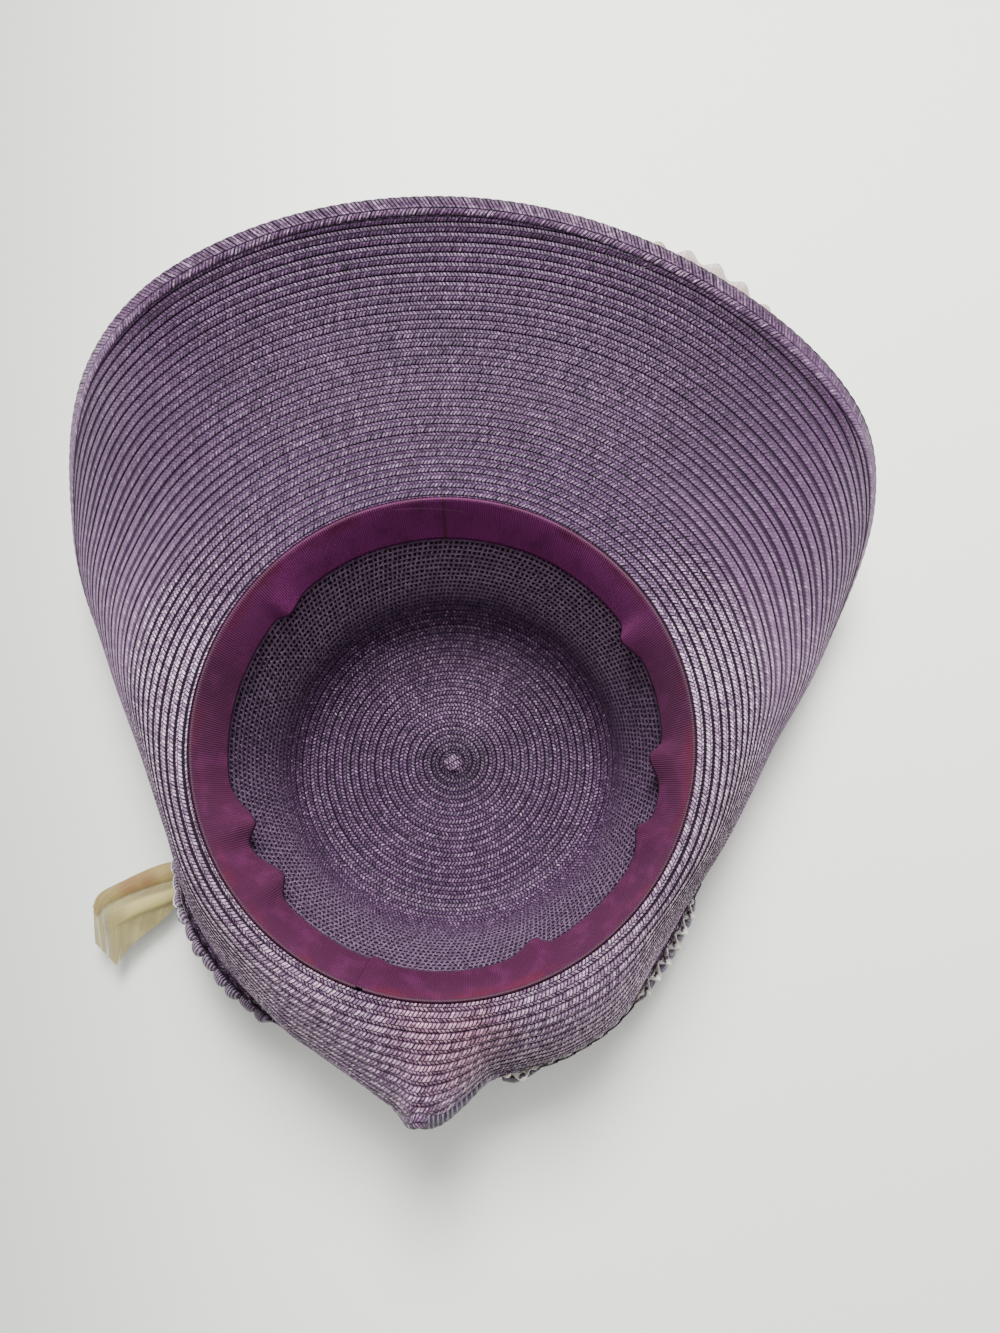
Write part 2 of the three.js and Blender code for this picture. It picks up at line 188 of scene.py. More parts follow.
class Brim:
    """The brim at a list of azimuths in degrees. Distances run along the straw from the head opening."""

    def __init__(self, azimuths):
        self.azimuth = np.radians(azimuths)
        self.value = {c: section_value(c, azimuths) for c in SECTION_COLUMNS[1:]}
        self.width = self.value["width"]
        self.reach = self.width + PAST_EDGE
        stations = np.linspace(0, 1, SECTION_STATIONS + 1)[:, None] * self.reach
        step = self.reach / SECTION_STATIONS
        slope = self.slope(stations[:-1] + 0.5 * step)
        zero = np.zeros((1, len(azimuths)))
        self.radius = OPENING_RADIUS + np.concatenate([zero, np.cumsum(np.cos(slope) * step, axis=0)])
        self.height = OPENING_HEIGHT + np.concatenate([zero, np.cumsum(np.sin(slope) * step, axis=0)])

    def slope(self, along):
        v = self.value
        inner = smooth(along / v["middle_at"])
        outer = smooth((along - v["middle_at"]) / (v["width"] - v["middle_at"]))
        flare = smooth((along - v["width"] + FLARE_LENGTH) / FLARE_LENGTH)
        bend = (v["middle"] - v["start"]) * inner + (v["edge"] - v["middle"]) * outer
        return np.radians(v["start"] + bend + v["flare"] * flare)

    def point(self, along, depth):
        """Points at distances (rows, azimuths), at a depth behind the face that meets the head."""
        along = np.asarray(along, float)
        place = np.clip(along / self.reach, 0, 1) * SECTION_STATIONS
        i = np.minimum(place.astype(int), SECTION_STATIONS - 1)
        column = np.broadcast_to(np.arange(len(self.azimuth)), along.shape)
        t = place - i
        slope = self.slope(along)
        radius = self.radius[i, column] * (1 - t) + self.radius[i + 1, column] * t + np.sin(slope) * depth
        height = self.height[i, column] * (1 - t) + self.height[i + 1, column] * t - np.cos(slope) * depth
        return np.stack([radius * np.cos(self.azimuth), radius * np.sin(self.azimuth), height], axis=-1)


def wall_radius(depth):
    return OPENING_RADIUS - math.tan(WALL_TAPER) * depth


SHOULDER_TURN = math.pi / 2 - WALL_TAPER
TIP_RADIUS = wall_radius(CROWN_DEPTH) - SHOULDER_RADIUS * math.tan(SHOULDER_TURN / 2)
SHOULDER_END = TIP_RADIUS + SHOULDER_RADIUS * SHOULDER_TURN
SHOULDER_TOP = STRAW_WALL + SHOULDER_RADIUS * (1 - math.cos(SHOULDER_TURN))
WALL_LENGTH = (OPENING_HEIGHT - CROWN_END - SHOULDER_TOP) / math.cos(WALL_TAPER)
CROWN_LENGTH = SHOULDER_END + WALL_LENGTH


class Crown:
    """The crown's bowl. Distances run along the straw from the middle of the tip."""

    def __init__(self, azimuths):
        self.azimuth = np.radians(azimuths)

    def point(self, along, depth):
        turn = np.clip((along - TIP_RADIUS) / SHOULDER_RADIUS, 0, SHOULDER_TURN)
        run = np.maximum(along - SHOULDER_END, 0)
        radius = np.minimum(along, TIP_RADIUS) + SHOULDER_RADIUS * np.sin(turn) + run * math.sin(WALL_TAPER)
        height = STRAW_WALL + SHOULDER_RADIUS * (1 - np.cos(turn)) + run * math.cos(WALL_TAPER)
        radius = radius + np.sin(turn) * depth
        height = height - np.cos(turn) * depth
        return np.stack([radius * np.cos(self.azimuth), radius * np.sin(self.azimuth), height], axis=-1)


def grid_faces(rows, columns, closed=False):
    """Quads of a grid whose points run along each row, and whose rows may close on themselves."""
    last = columns if closed else columns - 1
    j, i = np.meshgrid(np.arange(rows - 1), np.arange(last), indexing="ij")
    after = (i + 1) % columns
    near, far = j * columns, (j + 1) * columns
    return np.stack([near + i, near + after, far + after, far + i], axis=-1).reshape(-1, 4)


def triples(x, y, z):
    """Three values for each point of a grid, as rows of three."""
    return np.stack(np.broadcast_arrays(x, y, z), axis=-1).reshape(-1, 3)


def add_piece(name, points, faces, look, nodes=(), pattern=None, inset=None):
    """A mesh in millimetres as a piece of the hat.

    pattern gives each point's coordinates for its material, and inset its distance from the rim.
    """
    used, index = np.unique(faces, return_inverse=True)
    mesh = bpy.data.meshes.new(name)
    mesh.from_pydata((points[used] * MM).tolist(), [], index.reshape(np.shape(faces)).tolist())
    if pattern is not None:
        attribute = mesh.attributes.new("pattern", "FLOAT_VECTOR", "POINT")
        attribute.data.foreach_set("vector", pattern[used].astype(np.float32).ravel())
    if inset is not None:
        attribute = mesh.attributes.new("inset", "FLOAT", "POINT")
        attribute.data.foreach_set("value", inset[used].astype(np.float32))
    mesh.shade_smooth()
    mesh.materials.append(look.material)
    piece = bpy.data.objects.new(name, mesh)
    bpy.context.scene.collection.objects.link(piece)
    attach(piece, "root")
    if nodes:
        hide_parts(*nodes)
    return piece


def wobble(azimuth, seed, size):
    """A slow swing round the hat, for braid rows that are no perfect circles and a band that ripples."""
    made = np.random.default_rng(seed)
    swing = np.zeros_like(azimuth)
    for turns in SWING_TURNS:
        swing += made.normal() * np.sin(turns * azimuth + made.uniform(0, 2 * math.pi)) / turns ** SWING_FALL
    return size * swing


def braid_rows(surface, start, low, high, side, seed, scale=1.0, lower=0.0, front=1.0):
    """Rows of braid sewn in a spiral on one face of a surface, each lapping over its neighbour.

    side is 1 on the face that meets the head and -1 on the worn face, where the other edge is on top.
    scale is the share of the relief that is left all round, front the share of that at the front, and
    lower how far all of it is sunk into the face.
    Returns the points, the quads, the points' pattern, which is millimetres along the braid, share of
    the row from its inner edge and row number, and the points' distance from the outer end.
    """
    azimuth = surface.azimuth
    share, relief = ROW_PROFILE[:, 0], scale * ROW_PROFILE[:, 1]
    if side < 0:
        share, relief = 1 - share[::-1], relief[::-1]
    columns = len(azimuth)
    turn = azimuth / (2 * math.pi)
    seam = np.sin(math.pi * np.linspace(0, 1, columns)) ** 0.5
    points, faces, pattern, inset = [], [], [], []
    gone = 0.0
    row = 0
    while start + (row - 1) * ROW_PITCH < np.max(high):
        inner = start + (row - 1 + turn) * ROW_PITCH + seam * wobble(azimuth, seed + row, ROW_SWAY)
        along = np.clip(inner + share[:, None] * ROW_PITCH, low, high)
        at = (along - inner) / ROW_PITCH
        lift = np.interp(at, share, relief) - lower
        lift = lift * (1 + wobble(azimuth, seed + LIFT_SEED + row, LIFT_SWAY))
        lift = lift * (1 - (1 - front) * np.clip(np.sin(azimuth), 0, 1))
        depth = -lift if side > 0 else STRAW_WALL + lift
        sheet = surface.point(along, depth)
        middle = np.hypot(*np.moveaxis(sheet[len(share) // 2, :, :2], -1, 0))
        steps = 0.5 * (middle[1:] + middle[:-1]) * np.diff(azimuth)
        length = gone + np.concatenate([[0.0], np.cumsum(steps)])
        gone = length[-1]
        wide = (along[1:] - along[:-1]) > LEAST_STRIP
        kept = (wide[:, :-1] | wide[:, 1:]).ravel()
        faces.append(grid_faces(len(share), columns)[kept] + row * len(share) * columns)
        points.append(sheet.reshape(-1, 3))
        pattern.append(triples(length, at, row))
        inset.append((high - along).ravel())
        row += 1
    return tuple(np.concatenate(part) for part in (points, faces, pattern, inset))


def colour(red, green, blue):
    """A colour given as it looks on a screen, 0 to 255, as the linear values that a shader takes."""
    channels = []
    for value in (red, green, blue):
        share = value / 255
        channels.append(share / 12.92 if share <= 0.04045 else ((share + 0.055) / 1.055) ** 2.4)
    return (*channels, 1.0)


class Look:
    """A node material in the making. Its calls add a node and return that node's output."""

    def __init__(self, name):
        self.material = bpy.data.materials.new(name)
        self.material.use_nodes = True
        self.tree = self.material.node_tree
        self.surface = self.tree.nodes["Principled BSDF"]

    def put(self, socket, value):
        if isinstance(value, bpy.types.NodeSocket):
            self.tree.links.new(value, socket)
        else:
            socket.default_value = value

    def node(self, kind, inputs, **settings):
        made = self.tree.nodes.new(kind)
        for name, value in settings.items():
            setattr(made, name, value)
        for key, value in inputs.items():
            self.put(made.inputs[key], value)
        return made

    def set(self, **inputs):
        """Sets the shader's own sockets, named with _ for a space."""
        for name, value in inputs.items():
            self.put(self.surface.inputs[name.replace("_", " ")], value)

    def math(self, operation, first, second=0.0, third=0.0):
        return self.node("ShaderNodeMath", {0: first, 1: second, 2: third}, operation=operation).outputs[0]

    def times(self, first, second):
        return self.math("MULTIPLY", first, second)

    def times_plus(self, first, second, third):
        """The first times the second, plus the third."""
        return self.math("MULTIPLY_ADD", first, second, third)

    def mix(self, share, first, second, blend="MIX"):
        inputs = {0: share, 6: first, 7: second}
        return self.node("ShaderNodeMix", inputs, data_type="RGBA", blend_type=blend).outputs[2]

    def step(self, value, low, high, bottom=0.0, top=1.0):
        """A soft step from bottom to top as value goes from low to high."""
        inputs = {"Value": value, "From Min": low, "From Max": high, "To Min": bottom, "To Max": top}
        return self.node("ShaderNodeMapRange", inputs, interpolation_type="SMOOTHSTEP").outputs[0]

    def vector(self, x=0.0, y=0.0, z=0.0):
        return self.node("ShaderNodeCombineXYZ", {0: x, 1: y, 2: z}).outputs[0]

    def random(self, x, y=0.0, z=0.0):
        """A number from 0 to 1 for each whole-numbered place."""
        return self.node("ShaderNodeTexWhiteNoise", {"Vector": self.vector(x, y, z)}).outputs[0]

    def noise(self, vector, scale, detail=2.0):
        inputs = {"Vector": vector, "Scale": scale, "Detail": detail}
        return self.node("ShaderNodeTexNoise", inputs).outputs[0]

    def place(self):
        return self.node("ShaderNodeTexCoord", {}).outputs["Object"]

    def parts(self, vector):
        return self.node("ShaderNodeSeparateXYZ", {0: vector}).outputs

    def pattern(self):
        """Along in millimetres, across as a share, and the row's number."""
        made = self.node("ShaderNodeAttribute", {}, attribute_name="pattern")
        return self.parts(made.outputs["Vector"])

    def inset(self):
        """Millimetres from the rim."""
        return self.node("ShaderNodeAttribute", {}, attribute_name="inset").outputs["Fac"]

    def ramp(self, value, stops):
        """Colours at places from 0 to 1, blended between."""
        made = self.node("ShaderNodeValToRGB", {0: value})
        elements = made.color_ramp.elements
        for at, _ in stops[1:-1]:
            elements.new(at)
        for element, (at, shade) in zip(elements, stops):
            element.position = at
            element.color = colour(*shade)
        return made.outputs[0]

    def over(self, share, shade, blend="MIX"):
        """Lays a colour over the one that the shader has so far."""
        socket = self.surface.inputs["Base Color"]
        self.put(socket, self.mix(share, socket.links[0].from_socket, shade, blend))

    def within(self, value, low, high, soft):
        """1 where a value lies between two others, with soft ends."""
        above = self.step(value, low, low + soft)
        return self.times(above, self.step(value, high - soft, high, 1.0, 0.0))

    def paired(self, share, pair):
        """From the first of a pair to the second as share goes from 0 to 1."""
        return self.times_plus(share, pair[1] - pair[0], pair[0])

    def near(self, centre, radius):
        """1 at a place given in millimetres, falling to 0 at a radius round it."""
        inputs = {0: self.place(), 1: [c * MM for c in centre]}
        away = self.node("ShaderNodeVectorMath", inputs, operation="DISTANCE").outputs["Value"]
        return self.step(away, 0.15 * radius * MM, radius * MM, 1.0, 0.0)

    def bump(self, height, millimetres):
        return self.node("ShaderNodeBump", {"Height": height, "Distance": millimetres * MM}).outputs[0]


STRAW_SHADES = (
    (0.0, (12, 5, 16)),
    (0.2, (34, 19, 39)),
    (0.42, (68, 43, 74)),
    (0.62, (104, 76, 108)),
    (0.8, (150, 124, 150)),
    (1.0, (206, 186, 204)),
)
# Dark colours: the first is painted shade in the crevices where rows lap and between the scallops' lobes, and
# also darkens the button away from its middle; the second is painted shade in the crevices beside the rim,
# and the colour of the rim's dark flecks
GAP_SHADE = (20, 9, 24)
CREVICE_SHADOW_AND_FLECK = (44, 26, 47)


def straw_look(name, cell, lean, fold, slash, contrast, light, lines, back_slash=0.3):
    """Plaited straw: strands that lean out to a fold and back, each a light fleck between dark sides.

    cell is a strand's width along the row in millimetres and lean how many strands it shifts across
    the row. fold is where across the row it turns back. The next three are pairs, for the front and for
    the rest of the hat: how dark the gap after every third strand is, how far the strands stand out, and
    how much paler the straw is, where a difference between the two is painted sheen and light. lines is
    the share of a row that the painted shade line beside it takes, at the front and back and at the sides.
    back_slash is the share of a gap that is left after the fold.
    """
    look = Look(name)
    along, across, row = look.pattern()
    place = look.place()
    x, y, _ = look.parts(place)
    span = look.math("SQRT", look.times_plus(x, x, look.times(y, y)))
    # From 0 at the front to 1 at the sides and the back
    turned = look.step(look.math("DIVIDE", y, span), 0.2, 0.9, 1.0, 0.0)
    # Down the steep sides the rows sink in pairs, and their strands are hardly seen
    sideways = look.step(look.math("DIVIDE", look.math("ABSOLUTE", x), span), 0.45, 0.9)
    steep = look.times(sideways, look.step(span, 0.112, 0.13))
    drift = look.noise(look.vector(look.times(along, 0.11), row), 1.0, 1.0)
    away = look.math("ABSOLUTE", look.math("SUBTRACT", across, fold))
    outer = look.math("GREATER_THAN", across, fold)
    strand = look.times_plus(drift, 0.8, look.math("DIVIDE", along, cell))
    strand = look.times_plus(away, -lean, strand)
    strand = look.times_plus(outer, 0.5, strand)
    strand_tone = look.random(look.math("FLOOR", strand), row, outer)
    # Each strand is rounded, and dips under its neighbour at the fold and at the row's edges; its colour
    # paints that rounding as a painted highlight in its middle and painted shade at its sides and ends
    middle = look.math("PINGPONG", strand, 0.5)
    dome = look.step(middle, 0.0, 0.22)
    reach = look.math("DIVIDE", away, look.times_plus(outer, 1 - 2 * fold, fold))
    dome = look.times(dome, look.step(reach, 0.0, 0.16))
    dome = look.times(dome, look.step(reach, 0.8, 1.0, 1.0, 0.4))
    # Painted glints on the middles of some pale strands
    glint = look.times(look.step(middle, 0.3, 0.46), look.within(reach, 0.3, 0.9, 0.2))
    glint = look.times(glint, look.step(strand_tone, 0.65, 0.95))
    # The gap after every third strand, plain on some and faint on others
    third = look.math("DIVIDE", strand, 3.0)
    gap = look.step(look.math("PINGPONG", third, 0.5), 0.04, 0.12, 1.0, 0.0)
    chance = look.random(look.math("ROUND", third), row, 7.0)
    gap = look.times(gap, look.step(chance, 0.1, 0.9, 0.1, 1.0))
    gap = look.times(gap, look.paired(turned, slash))
    gap = look.times(gap, look.paired(steep, (1.0, 0.3)))
    gap = look.times(gap, look.times_plus(outer, back_slash - 1.0, 1.0))
    grain = look.vector(look.times(strand, 3.0), look.times(across, 4.0), row)
    fibre = look.noise(grain, 1.5, 2.0)
    # Tone from 0, dark, to 1, pale
    # The strands' own random tone, plus the painted highlight and shade of their rounding and their glints
    relief = look.times(look.math("SUBTRACT", strand_tone, 0.5), 0.22)
    relief = look.times_plus(look.math("SUBTRACT", dome, 0.65), 0.4, relief)
    relief = look.times_plus(glint, 0.25, relief)
    relief = look.times(relief, look.paired(steep, (1.0, 0.4)))
    tone = look.times_plus(relief, look.paired(turned, contrast), 0.4)
    # Painted sheen and light: a paleness that differs between the front and the rest of the hat
    tone = look.math("ADD", tone, look.paired(turned, light))
    streak = look.times(look.math("SUBTRACT", fibre, 0.5), look.paired(steep, (0.3, 0.08)))
    tone = look.math("ADD", streak, tone)
    speck = look.noise(place, 1100.0, 2.0)
    speck = look.times(look.math("SUBTRACT", speck, 0.5), look.paired(steep, (0.9, 0.3)))
    tone = look.math("ADD", speck, tone)
    tone = look.times_plus(look.math("SUBTRACT", look.noise(place, 24.0, 2.0), 0.5), 0.1, tone)
    tone = look.times(tone, look.times_plus(gap, -0.85, 1.0))
    shade = look.ramp(tone, STRAW_SHADES)
    # Painted shade in the crevices where one row laps over the next, broadest where the brim turns down
    # at the sides
    odd = look.times(look.math("MODULO", row, 2.0), steep)
    width = look.times_plus(steep, 0.3, look.paired(sideways, lines))
    line = look.math("DIVIDE", look.math("SUBTRACT", 1.0, across), width)
    line = look.step(line, 0.6, 1.1, 0.97, 0.0)
    low, high = look.paired(sideways, (0.0, 0.07)), look.paired(sideways, (0.045, 0.15))
    line = look.math("MAXIMUM", line, look.step(across, low, high, 0.95, 0.0))
    line = look.times(line, look.paired(sideways, (0.66, 1.0)))
    line = look.times(line, look.paired(odd, (1.0, 0.3)))
    shade = look.mix(line, shade, colour(*GAP_SHADE))
    height = look.times_plus(dome, 0.6, look.times(fibre, 0.2))
    height = look.times_plus(gap, -0.6, height)
    height = look.times(height, look.paired(steep, (1.0, 0.2)))
    rough = look.times_plus(strand_tone, -0.15, 0.58)
    look.set(Base_Color=shade, Roughness=look.math("MAXIMUM", rough, look.math("MAXIMUM", line, gap)))
    look.set(Normal=look.bump(height, 0.5))
    look.set(Specular_IOR_Level=0.25)
    return look


def brim_look():
    """The brim's straw, with painted shade towards the back, in the sunk row beside the rim and in the
    crevices at its edges, and a faint stain.
    """
    look = straw_look(
        "brim_straw", cell=1.4, lean=1.5, fold=0.55,
        slash=(0.9, 0.5), contrast=(0.75, 1.4), light=(-0.09, 0.24), lines=(0.09, 0.3),
    )
    inset = look.inset()
    # Painted shade: the sunk row beside the rim is darkened, with painted shadow lines in the crevice at the
    # rim and at the row's inner edge
    look.over(look.within(inset, 1.2, 5.0, 0.5), colour(222, 208, 220), "MULTIPLY")
    seam = look.step(inset, 0.5, 0.9, 0.95, 0.0)
    sunk = look.times(look.within(inset, 4.4, 4.9, 0.2), 0.7)
    look.over(look.math("MAXIMUM", seam, sunk), colour(*CREVICE_SHADOW_AND_FLECK))
    _, y, _ = look.parts(look.place())
    # Painted shade: the straw darkens towards the back
    look.over(look.step(y, -0.05, 0.04, 1.0, 0.0), colour(226, 222, 224), "MULTIPLY")
    patch = look.step(look.noise(look.place(), 45.0, 4.0), 0.3, 0.7, 0.3, 0.8)
    stain = look.times(look.near((2, -100, 88), 32), patch)
    look.over(stain, colour(255, 208, 204), "MULTIPLY")
    return look


def crown_look():
    """The crown's straw: a close plait on the tip, and an open weave with dark holes up the wall, whose
    threads are painted paler on the front half of the wall as painted light.
    """
    look = straw_look(
        "crown_straw", cell=1.5, lean=1.3, fold=0.5,
        slash=(0.3, 0.3), contrast=(0.9, 0.9), light=(-0.03, -0.08), lines=(0.16, 0.16),
    )
    _, across, _ = look.pattern()
    x, y, z = look.parts(look.place())
    turns = look.math("DIVIDE", look.math("ARCTAN2", y, x), 2 * math.pi)
    # Ribs and rings of the open weave, both a little astray
    stray = look.noise(look.place(), 260.0, 2.0)
    ribs = look.times_plus(turns, 250.0, look.times(z, 90.0))
    ribs = look.times_plus(stray, 0.9, ribs)
    tick = look.step(look.math("PINGPONG", ribs, 0.5), 0.25, 0.41)
    across = look.times_plus(stray, 0.3, across)
    rings = look.step(look.math("PINGPONG", across, 0.5), 0.25, 0.41)
    thread = look.math("MAXIMUM", look.times(tick, 0.85), rings)
    uneven = look.step(look.noise(look.place(), 400.0, 2.0), 0.35, 0.65, 0.5, 1.0)
    thread = look.times(thread, uneven)
    # Painted light: the weave's threads are much paler on the front half of the wall
    painted_lit_thread = look.mix(look.step(y, 0.0, 0.06), colour(128, 103, 134), colour(234, 204, 238))
    open_weave = look.mix(thread, colour(16, 8, 20), painted_lit_thread)
    look.over(look.step(z, 0.003, 0.034, 0.0, 0.85), open_weave)
    look.over(look.near((0, 0, 2), 24), colour(168, 160, 176), "MULTIPLY")
    return look


def rim_look():
    """The doubled braid at the edge, with a tightly whipped stretch beside the point at the back."""
    look = straw_look(
        "rim_straw", cell=RIM_STRAND / 3, lean=3 * RIM_LEAN, fold=RIM_FOLD,
        slash=(0.7, 0.7), contrast=(0.9, 1.2), light=(0.13, 0.13), lines=(0.02, 0.02), back_slash=1.0,
    )
    along, across, _ = look.pattern()
    x, y, _ = look.parts(look.place())
    # Painted shade on the rim's inner side, in the crevice against the brim
    look.over(look.step(across, 0.05, 0.09, 1.0, 0.0), colour(*CREVICE_SHADOW_AND_FLECK))
    fleck = look.noise(look.place(), 520.0, 2.0)
    look.over(look.step(fleck, 0.42, 0.62, 0.0, 0.4), colour(*CREVICE_SHADOW_AND_FLECK))
    look.over(look.step(across, 0.45, 0.9), colour(172, 158, 174), "MULTIPLY")
    whipped = look.within(x, -0.006, 0.017, 0.003)
    whipped = look.times(whipped, look.step(y, -0.12, -0.117, 1.0, 0.0))
    thread = look.math("SINE", look.times(along, 2 * math.pi / 2.6))
    look.over(whipped, look.mix(look.step(thread, 0.1, 0.8), colour(26, 16, 36), colour(108, 94, 116)))
    return look


def rim_points(columns):
    """The doubled braid along the edge: two rounded rows in front, a rolled edge and a plain back."""
    azimuths = np.linspace(0, 360, columns, endpoint=False)
    brim = Brim(azimuths)
    path = RIM_SECTION[:, :2]
    tangent = np.roll(path, -1, axis=0) - np.roll(path, 1, axis=0)
    outward = np.stack([tangent[:, 1], -tangent[:, 0]], axis=1)
    outward /= np.linalg.norm(outward, axis=1)[:, None]
    outward[0] = outward[-1] = (-1, 0)
    edge = brim.point(brim.width[None, :], 0)[0]
    steps = np.linalg.norm(np.roll(edge, -1, axis=0) - edge, axis=1)
    length = np.concatenate([[0.0], np.cumsum(steps)[:-1]])
    whole = np.sum(steps)
    strands = round(whole / RIM_STRAND)
    phase = length / whole * strands
    lean = RIM_LEAN * np.abs(RIM_SECTION[:, 2] - RIM_FOLD)
    ridge = np.abs(np.sin(math.pi * (phase[None, :] - lean[:, None]))) ** 0.6
    raised = RIM_RIDGE * (ridge - 0.7)
    along = brim.width[None, :] + path[:, :1] + outward[:, :1] * raised
    depth = path[:, 1:] + outward[:, 1:] * raised
    points = brim.point(along, depth).reshape(-1, 3)
    faces = grid_faces(len(RIM_SECTION), columns, closed=True)
    return points, faces, triples(phase * RIM_STRAND, RIM_SECTION[:, 2:], 0.0)


def away_from(azimuths, centre):
    return np.mod(azimuths - centre + 180, 360) - 180


def sweatband_points(columns, rows):
    """The ribbon inside the opening, front and back, sewn at its top and loose and tucked at its deep edge.

    Its first end laps over its last one.
    """
    join = BAND_JOIN + BAND_JOIN_HALF_GAP - 360
    azimuths = np.linspace(join - BAND_LAP, BAND_JOIN, columns)
    angle = np.radians(azimuths)
    tuck = np.zeros(columns)
    for centre, height, half_width in BAND_TUCKS:
        off = away_from(azimuths, centre)
        tuck += height * np.exp(-((off / (half_width * np.where(off < 0, *TUCK_SKEW))) ** 2))
    ripple = wobble(angle, RIPPLE_SEED, BAND_RIPPLE)
    lapped = BAND_LAP_LIFT * (1 - smooth((azimuths - join) / BAND_LAP_FADE))
    across = np.linspace(-0.04, 1, rows)[:, None]
    deep = np.maximum(across, 0)
    uneven = BAND_UNEVEN * deep * wobble(angle, DEPTH_SEED, BAND_RIPPLE)
    depth = BAND_START + BAND_WIDTH * across * math.cos(WALL_TAPER) + uneven
    loose = BAND_LOOSE * deep ** 2 + tuck * deep ** 1.5 + ripple * deep + lapped * smooth(deep / 0.3)
    sheets = []
    for lift in (BAND_THICKNESS, BAND_BACK):
        # A rounded hem at the sewn edge, and the groove of its stitches
        hem = 0.35 * np.exp(-(across / 0.04) ** 2) - 0.2 * np.exp(-((across - 0.09) / 0.025) ** 2)
        radius = wall_radius(depth) - BAND_CLEARANCE * smooth(deep / 0.1) - loose - lift * (1 + hem)
        sheets.append(triples(radius * np.cos(angle), radius * np.sin(angle), OPENING_HEIGHT - depth))
    count = rows * columns
    quads = grid_faces(rows, columns)
    top, deep_edge = np.arange(columns), np.arange(columns) + (rows - 1) * columns
    first_end, last_end = np.arange(rows) * columns, np.arange(rows) * columns + columns - 1
    rim = []
    for line in (top[::-1], deep_edge, first_end, last_end[::-1]):
        a, b = line[:-1], line[1:]
        rim.append(np.stack([a, b, b + count, a + count], axis=-1))
    faces = np.concatenate([quads, quads[:, ::-1] + count, *rim])
    pattern = triples(angle * BAND_RADIUS, across, 0.0)
    return np.concatenate(sheets), faces, np.concatenate([pattern, pattern])


def sweatband_look():
    """Ribbed ribbon, reddish along its sewn edge, with painted shade in the fold of its hem, painted light
    on its front half, and a crease and a pulled thread in front.
    """
    look = Look("sweatband_grosgrain")
    along, across, _ = look.pattern()
    place = look.place()
    x, y, _ = look.parts(place)
    rib = look.math("SINE", look.times(along, 2 * math.pi / 0.8))
    weft = look.math("SINE", look.times(across, 2 * math.pi * 58))
    worn = look.noise(place, 30.0, 4.0)
    folds = look.vector(look.times(along, 0.13), look.times(across, 2.0))
    soft = look.noise(folds, 1.0, 2.0)
    # Painted light: the band is much paler on its front half
    shade = look.mix(look.step(y, 0.02, 0.085), colour(62, 16, 48), colour(160, 57, 142))
    shade = look.mix(look.step(soft, 0.45, 0.75, 0.0, 0.5), shade, colour(100, 36, 84))
    shade = look.mix(look.times(worn, 0.2), shade, colour(104, 36, 80))
    shade = look.mix(look.times_plus(rib, -0.22, 0.22), shade, colour(36, 4, 26))
    rust = look.step(look.noise(place, 60.0, 5.0), 0.42, 0.66)
    rust = look.times(rust, look.step(across, 0.0, 0.4, 1.0, 0.0))
    shade = look.mix(look.times(rust, 0.6), shade, colour(88, 18, 34))
    crease = look.times(look.within(x, -0.0017, 0.0003, 0.0006), look.step(y, 0.0, 0.01))
    shade = look.mix(look.times(crease, 0.7), shade, colour(96, 50, 52))
    slant = look.times_plus(x, -7.0, across)
    pulled = look.times(look.within(slant, 0.21, 0.24, 0.01), look.within(x, -0.022, 0.01, 0.004))
    pulled = look.times(pulled, look.step(y, 0.0, 0.01))
    shade = look.mix(look.times(pulled, 0.5), shade, colour(190, 130, 160))
    # Painted shade in the fold of the hem along the sewn edge
    shade = look.mix(look.step(across, -0.03, 0.02, 0.8, 0.0), shade, colour(44, 12, 34))
    height = look.times_plus(rib, 0.5, look.times(weft, 0.12))
    height = look.times_plus(crease, -1.5, height)
    look.set(Base_Color=shade, Roughness=look.times_plus(worn, 0.2, 0.42))
    look.set(Normal=look.bump(height, 0.16))
    look.set(Specular_IOR_Level=0.35)
    look.set(Sheen_Weight=0.08, Sheen_Roughness=0.4, Sheen_Tint=colour(214, 150, 200))
    return look


def scallop_look():
    """Straw-wound lobes with painted shade in the gap between one and the next, outlined in white beside
    the plume.
    """
    look = Look("scallop_straw")
    along, across, phase = look.pattern()
    x, y, _ = look.parts(look.place())
    away = look.math("ABSOLUTE", look.math("SUBTRACT", across, 0.5))
    lean = look.times_plus(away, 10.0, look.times(along, 2 * math.pi / 1.6))
    wound = look.math("SINE", lean)
    pale = look.mix(look.step(x, 0.0, 0.01), colour(134, 112, 138), colour(78, 62, 84))
    shade = look.mix(look.step(wound, -0.8, 0.6), colour(48, 33, 54), pale)
    fleck = look.noise(look.place(), 900.0, 2.0)
    shade = look.mix(look.step(fleck, 0.45, 0.65, 0.0, 0.5), shade, colour(40, 26, 46))
    # Painted shade in the pinch between one lobe and the next
    apart = look.step(look.math("PINGPONG", phase, 0.5), 0.02, 0.09, 1.0, 0.0)
    shade = look.mix(look.times(apart, 0.7), shade, colour(*GAP_SHADE))
    outline = look.within(across, 0.12, 0.36, 0.06)
    outline = look.times(outline, look.step(y, -0.07, -0.06))
    outline = look.times(outline, look.step(x, 0.0, 0.01, 1.0, 0.0))
    shade = look.mix(look.times(outline, 0.85), shade, colour(224, 219, 214))
    look.set(Base_Color=shade, Roughness=0.5, Normal=look.bump(wound, 0.3))
    return look


